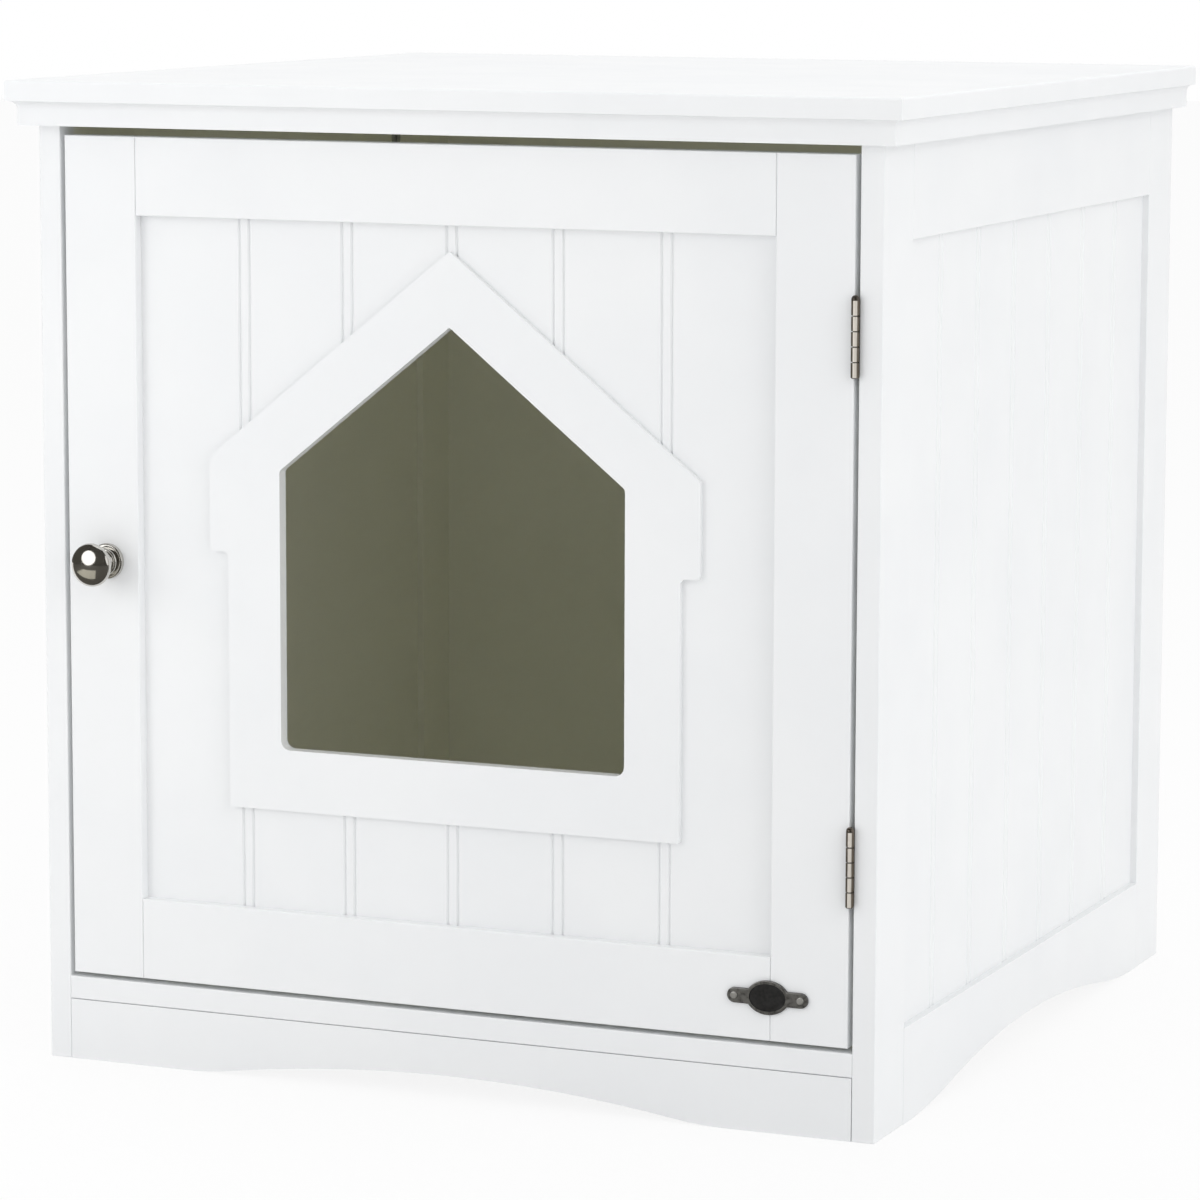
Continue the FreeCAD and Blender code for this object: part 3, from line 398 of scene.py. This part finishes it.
def aged_pewter(name):
    """Dark cast pewter, rubbed bright on what stands proud."""
    metal = Finish(name, Metallic=1.0)
    mottle = metal.noise(PEWTER_MOTTLE_SIZE, MOTTLED)
    y = metal.axes()[1]
    proud = metal.spread(y, (PLATE_FACE + PLATE_FIELD_DEPTH, PLATE_FACE), PEWTER_PROUD_SHARE)
    wear_and_highlight = metal.math("MULTIPLY", proud, metal.spread(mottle, PEWTER_RUB_STRETCH, PEWTER_RUB_SHARE))
    field = metal.mix(mottle, PEWTER_DARK, PEWTER_GREY)
    metal.feed("Base Color", metal.mix(wear_and_highlight, field, PEWTER_RUBBED))
    metal.feed("Roughness", metal.spread(mottle, MIDDLE, PEWTER_ROUGHNESS))
    metal.feed("Normal", metal.bump(mottle, PEWTER_MOTTLE_DEPTH))
    return metal.material


def add_object(name, data):
    made = bpy.data.objects.new(name, data)
    scene.collection.objects.link(made)
    return made


def mesh_object(name, mesh):
    """A new object of a finished bmesh."""
    data = bpy.data.meshes.new(name)
    mesh.to_mesh(data)
    mesh.free()
    return add_object(name, data)


# The turned knob; its outline is given as radius and distance from the door's face
KNOB_LOW, KNOB_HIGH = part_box("knob")
KNOB_AXIS = Vector(((KNOB_LOW[0] + KNOB_HIGH[0]) / 2, 0, (KNOB_LOW[2] + KNOB_HIGH[2]) / 2))
KNOB_RADIUS = (KNOB_HIGH[0] - KNOB_LOW[0]) / 2
KNOB_REACH = KNOB_HIGH[1] - KNOB_LOW[1]
KNOB_HEAD_LENGTH = 10.5 * MM
KNOB_NECK = 4.5 * MM
KNOB_COLLAR = 7.2 * MM
KNOB_COLLAR_TOP = 5.4 * MM
KNOB_ROSETTE = 9.2 * MM
KNOB_ROSETTE_TOP = 2.6 * MM
KNOB_ROUND = 1.0 * MM           # rims of the rosette and the collar
KNOB_TURNS = 96
KNOB_ARC_STEPS = 28
KNOB_RIM_STEPS = 6
KNOB_SHARP = math.radians(40)
MERGE_DISTANCE = 0.001 * MM
QUARTER = math.pi / 2


def rim_outline(radius, top):
    """A rim's rounded corner, from its side to its top."""
    outline = []
    for step in range(KNOB_RIM_STEPS + 1):
        turn = step / KNOB_RIM_STEPS * QUARTER
        outline.append((radius - KNOB_ROUND * (1 - math.cos(turn)), top - KNOB_ROUND * (1 - math.sin(turn))))
    return outline


def neck_outline(neck_top):
    """The hollow curve between the collar's top and the head."""
    shoulder = KNOB_COLLAR - KNOB_ROUND
    outline = []
    for step in range(1, KNOB_RIM_STEPS):
        turn = step / KNOB_RIM_STEPS * QUARTER
        radius = shoulder - (shoulder - KNOB_NECK) * math.sin(turn)
        outline.append((radius, KNOB_COLLAR_TOP + (neck_top - KNOB_COLLAR_TOP) * (1 - math.cos(turn))))
    return outline


def knob_outline():
    """The whole outline, from the rosette's foot to the tip of the head."""
    half = KNOB_HEAD_LENGTH / 2
    middle = KNOB_REACH - half
    start = math.acos(KNOB_NECK / KNOB_RADIUS)
    outline = [(0, 0), (KNOB_ROSETTE, 0)]
    outline += rim_outline(KNOB_ROSETTE, KNOB_ROSETTE_TOP)
    outline.append((KNOB_COLLAR, KNOB_ROSETTE_TOP))
    outline += rim_outline(KNOB_COLLAR, KNOB_COLLAR_TOP)
    outline += neck_outline(middle - half * math.sin(start))
    for step in range(KNOB_ARC_STEPS + 1):
        turn = -start + (start + QUARTER) * step / KNOB_ARC_STEPS
        outline.append((KNOB_RADIUS * math.cos(turn), middle + half * math.sin(turn)))
    return outline


def turned_knob():
    """The knob, spun round its axis, with smooth faces and crisp corners."""
    mesh = bmesh.new()
    spots = []
    for radius, reach in knob_outline():
        spots.append(mesh.verts.new((KNOB_AXIS.x + radius, DOOR_FACE - reach, KNOB_AXIS.z)))
    edges = [mesh.edges.new(pair) for pair in zip(spots, spots[1:])]
    bmesh.ops.spin(mesh, geom=spots + edges, cent=KNOB_AXIS, axis=(0, 1, 0), angle=2 * math.pi,
                   steps=KNOB_TURNS, use_merge=True)
    bmesh.ops.remove_doubles(mesh, verts=mesh.verts, dist=MERGE_DISTANCE)
    bmesh.ops.recalc_face_normals(mesh, faces=mesh.faces)
    knob = mesh_object("turned_knob", mesh)
    knob.data.materials.append(polished_chrome("knob_chrome"))
    for face in knob.data.polygons:
        face.use_smooth = True
    knob.data.set_sharp_from_angle(angle=KNOB_SHARP)
    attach(knob, "door")
    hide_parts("knob")


def dress(finish, *parts):
    """Gives every material slot of these frame nodes the finish."""
    for part in parts:
        for slot in nodes[part].material_slots:
            slot.material = finish


def dress_painted_boards():
    """White outside, cream on the faces that look into the cabin."""
    outside_paint = satin_paint("outside_paint")
    frame_paint = satin_paint("frame_paint", PANEL_INNER + FACE_SLACK)
    side_panel_paint = satin_paint("side_panel_paint", (PANEL_OUTER + PANEL_INNER) / 2)
    door_paint = satin_paint("door_paint")
    dress(outside_paint, "front_cornice", "left_cornice", "right_cornice", "front_apron", "rear_apron")
    dress(frame_paint, "top_board", "floor_board", "front_stretcher", "rear_stretcher", "back_panel")
    for side in ("left", "right"):
        dress(frame_paint, f"{side}_front_stile", f"{side}_rear_stile")
        dress(frame_paint, f"{side}_top_rail", f"{side}_bottom_rail")
        dress(side_panel_paint, f"{side}_bead_panel")
    dress(door_paint, "door_left_stile", "door_right_stile", "door_top_rail", "door_bottom_rail")
    dress(door_paint, "door_bead_panel", "house_surround")


# Tones of the brushed metals, how rough they are and which way they are brushed
SCREW_STEEL = {
    "bright": colour(0.62, 0.62, 0.61),
    "dull": colour(0.52, 0.53, 0.54),
    "rough": 0.26,
    "stroke": ALONG_Y,
}
PIN_BRONZE = {
    "bright": colour(0.17, 0.145, 0.12),
    "dull": colour(0.11, 0.095, 0.08),
    "rough": 0.24,
    "stroke": ALONG_X,
}
PLAIN_STEEL = {
    "bright": colour(0.60, 0.60, 0.60),
    "dull": colour(0.50, 0.50, 0.50),
    "rough": 0.30,
    "stroke": ALONG_Z,
}
PIN_PEWTER = {
    "bright": colour(0.86, 0.85, 0.82),
    "dull": colour(0.70, 0.69, 0.66),
    "rough": 0.34,
    "stroke": ALONG_Y,
    # the painted shade reaches this far round the plate's pins
    "reach": 0.6 * MM,
}


def dress_fittings():
    """Dowels, cams, screws, hinges, catch and the blank plate."""
    dress(beech("frame_dowel_beech", ALONG_Y), "frame_dowels")
    dress(beech("carcass_dowel_beech", ALONG_X), "carcass_dowels")
    dress(beech("door_dowel_beech", ALONG_X), "door_dowels")
    dress(cast_zinc("cam_zinc"), "cam_locks")
    steel = brushed_metal("screw_steel", **SCREW_STEEL)
    dress(steel, "cam_bolts", "back_screws", "knob_screw", "catch_screws", "strike_screw")
    dress(steel, "hinge_frame_screws", "hinge_door_screws")
    dress(highlit_nickel("hinge_nickel"), "hinge_frame_leaves", "hinge_door_leaves")
    dress(brushed_metal("pin_bronze", **PIN_BRONZE), "hinge_pins")
    dress(brushed_metal("plain_steel", **PLAIN_STEEL), "catch_poles", "strike_plate")
    dress(moulded_plastic("catch_plastic"), "catch_housing")
    dress(ferrite("catch_magnet"), "catch_magnet")
    dress(aged_pewter("plate_pewter"), "blank_plate")
    dress(brushed_metal("pin_pewter", **PIN_PEWTER), "plate_pins")


# Studio surround: plain white to look at, while its light on the object is brighter from some sides
WHITE = colour(1.0, 1.0, 1.0)
ROOM_LIGHT = 0.15               # light on the object from all round
SOFT_WALL_FALL = 3.0            # how quickly the brighter walls fade to the sides
SOFT_WALLS = {
    "right": {"way": Vector((2.15, -0.62, 0.8)), "brightness": 1.05},
    "front right": {"way": Vector((0.62, -0.62, 0.48)), "brightness": 0.24},
    "rear left": {"way": Vector((-0.6, 0.75, 0.28)), "brightness": 1.2},
    "ceiling": {"way": Vector((0.0, 0.0, 1.0)), "brightness": 0.74},
}


def soft_wall(room, under, way, brightness):
    """Adds to a light level a soft patch of the surround, brightest along way."""
    view = room.node("ShaderNodeTexCoord").outputs["Generated"]
    ends = {0: view, 1: way.normalized()}
    along = room.node("ShaderNodeVectorMath", ends, operation="DOT_PRODUCT").outputs["Value"]
    fall = room.math("POWER", room.math("MAXIMUM", along, 0.0), SOFT_WALL_FALL)
    return room.math("MULTIPLY_ADD", fall, brightness, under)


def white_room():
    """A surround that looks plain white, and lights the object softly from its brighter walls."""
    world = bpy.data.worlds.new("white_room")
    world.use_nodes = True
    scene.world = world
    room = ShaderTree(world.node_tree)
    lit = ROOM_LIGHT
    for wall in SOFT_WALLS.values():
        lit = soft_wall(room, lit, **wall)
    level = room.node("ShaderNodeMapRange", {"Value": room.seen_directly(), "To Min": lit, "To Max": 1.0})
    background = room.tree.nodes["Background"]
    background.inputs["Color"].default_value = WHITE
    room.tree.links.new(level.outputs[0], background.inputs["Strength"])


# Floor
FLOOR_REACH = 12.0
FLOOR_SIDES = 64
FLOOR_DROP = 0.1 * MM           # from the object's foot down to the floor
FLOOR_PALE = 0.84               # how pale the floor is where it bounces light
FLOOR_GLOW = 0.88               # share of plain white that the camera sees on the floor
FLOOR_ROUGHNESS = 0.9


def pale_floor():
    """A wide pale floor that keeps a soft shadow under the object."""
    mesh = bmesh.new()
    bmesh.ops.create_circle(mesh, cap_ends=True, segments=FLOOR_SIDES, radius=FLOOR_REACH)
    bmesh.ops.translate(mesh, vec=(0, 0, cad_low[2] - FLOOR_DROP), verts=mesh.verts)
    floor = mesh_object("studio_floor", mesh)
    pale = colour(FLOOR_PALE, FLOOR_PALE, FLOOR_PALE)
    card = Finish("floor_card", Roughness=FLOOR_ROUGHNESS, Base_Color=pale)
    glow = card.node("ShaderNodeEmission", {"Color": WHITE, "Strength": 1.0})
    share = card.math("MULTIPLY", card.seen_directly(), FLOOR_GLOW)
    both = card.node("ShaderNodeMixShader", {0: share, 1: card.shader.outputs[0], 2: glow.outputs[0]})
    card.tree.links.new(both.outputs[0], card.tree.nodes["Material Output"].inputs["Surface"])
    floor.data.materials.append(card.material)


# Dark flags round the lamps, with a paler card on the floor to the left before the door
FLAG_REACH = 3.6
FLAG_LIFT = 2 * MM              # from the floor to the flags' lower edges
FLAG_DARK = colour(0.078, 0.073, 0.062)
TABLE_LEFT, TABLE_RIGHT = -0.85, -0.22
TABLE_FAR, TABLE_NEAR = -1.05, -0.5
TABLE_TONE = colour(0.46, 0.445, 0.38)
CLOTH_ROUGHNESS = 1.0
FACING = 0.5                    # a face looks a way when its normal has more than this share of it
CUT_SLACK = MM


def on_table(face):
    """True where the paler card covers the floor."""
    middle = face.calc_center_median()
    across = TABLE_LEFT < middle.x < TABLE_RIGHT
    along = TABLE_FAR < middle.y < TABLE_NEAR
    return across and along and face.normal.z < -FACING


def open_side(face):
    """True behind the object and under it, where no flag stands."""
    behind = face.normal.y > FACING
    under = face.normal.z < -FACING and face.calc_center_median().y > DOOR_FACE
    return behind or under


def dark_flags():
    """Dark cards round the lamps that only polished metal mirrors, as in a photographer's studio."""
    mesh = bmesh.new()
    bmesh.ops.create_cube(mesh, size=2 * FLAG_REACH)
    bmesh.ops.translate(mesh, vec=(0, 0, FLAG_REACH + FLAG_LIFT), verts=mesh.verts)
    cuts = [((0, y, 0), (0, 1, 0)) for y in (TABLE_FAR, TABLE_NEAR, DOOR_FACE)]
    cuts += [((x, 0, 0), (1, 0, 0)) for x in (TABLE_LEFT, TABLE_RIGHT)]
    for place, way in cuts:
        bmesh.ops.bisect_plane(mesh, geom=mesh.faces[:] + mesh.edges[:] + mesh.verts[:], dist=CUT_SLACK,
                               plane_co=place, plane_no=way)
    for face in mesh.faces:
        face.material_index = int(on_table(face))
    bmesh.ops.delete(mesh, geom=[face for face in mesh.faces if open_side(face)], context="FACES")
    flags = mesh_object("dark_flags", mesh)
    for name, tone in (("flag_cloth", FLAG_DARK), ("table_card", TABLE_TONE)):
        flags.data.materials.append(Finish(name, Roughness=CLOTH_ROUGHNESS, Base_Color=tone).material)
    for ray in ("camera", "diffuse", "transmission", "volume_scatter", "shadow"):
        setattr(flags, f"visible_{ray}", False)


# Lamps: places, aims and diameters in metres, power in watts
DOOR_LEFT = Vector((-0.1, -0.2, 0.25))
RIGHT_SIDE = Vector((0.2, 0.0, 0.25))
TOP_MIDDLE = Vector((0.0, 0.0, 0.5))
LAMPS = {
    "front_umbrella": {"place": Vector((-1.15, -2.4, 0.95)), "aim": DOOR_LEFT, "size": 1.95, "power": 16.0},
    "left_softbox": {"place": Vector((-1.1, -1.0, 0.75)), "aim": DOOR_LEFT, "size": 1.0, "power": 2.7},
    "right_umbrella": {"place": Vector((2.35, -0.62, 1.05)), "aim": RIGHT_SIDE, "size": 2.0, "power": 9.5},
    "ceiling_softbox": {"place": Vector((0.0, 0.2, 2.8)), "aim": TOP_MIDDLE, "size": 2.0, "power": 11.4},
}
HIDDEN_LAMP = "left_softbox"    # polished metal doesn't mirror this one


def lamp(name, place, aim, size, power):
    """A round soft lamp at place, turned towards aim."""
    data = bpy.data.lights.new(name, "AREA")
    data.shape = "DISK"
    data.size = size
    data.energy = power
    made = add_object(name, data)
    made.location = place
    made.rotation_euler = (aim - place).to_track_quat("-Z", "Y").to_euler()
    made.visible_glossy = name != HIDDEN_LAMP


# The photograph's camera
CAMERA_PLACE = Vector((1.02093, BODY_FACE - 2.19512, 0.60554))
CAMERA_LENS = 146.826           # millimetres, on the sensor below
CAMERA_SENSOR = 36.0            # millimetres
CAMERA_TURN = math.radians(23.136)      # looking this far to the left of straight on
CAMERA_DROP = math.radians(8.2312)      # looking down
CAMERA_ROLL = math.radians(0.1556)


def photo_camera():
    """The camera at the photograph's place, turned and tilted as it was."""
    flat = math.cos(CAMERA_DROP)
    forward = Vector((-math.sin(CAMERA_TURN) * flat, math.cos(CAMERA_TURN) * flat, -math.sin(CAMERA_DROP)))
    level = forward.cross(Vector((0, 0, 1))).normalized()
    upright = level.cross(forward)
    right = math.cos(CAMERA_ROLL) * level + math.sin(CAMERA_ROLL) * upright
    up = math.cos(CAMERA_ROLL) * upright - math.sin(CAMERA_ROLL) * level
    data = bpy.data.cameras.new("photo_camera")
    data.lens = CAMERA_LENS
    data.sensor_width = CAMERA_SENSOR
    made = add_object("photo_camera", data)
    made.matrix_world = Matrix.Translation(CAMERA_PLACE) @ Matrix((right, up, -forward)).transposed().to_4x4()
    scene.camera = made


INDOOR_BOUNCES = 16             # light that enters the cabin keeps going round its walls

dress_painted_boards()
dress_fittings()
turned_knob()
white_room()
pale_floor()
dark_flags()
for lamp_name, settings in LAMPS.items():
    lamp(lamp_name, **settings)
photo_camera()
scene.view_settings.view_transform = "Standard"
scene.cycles.diffuse_bounces = INDOOR_BOUNCES
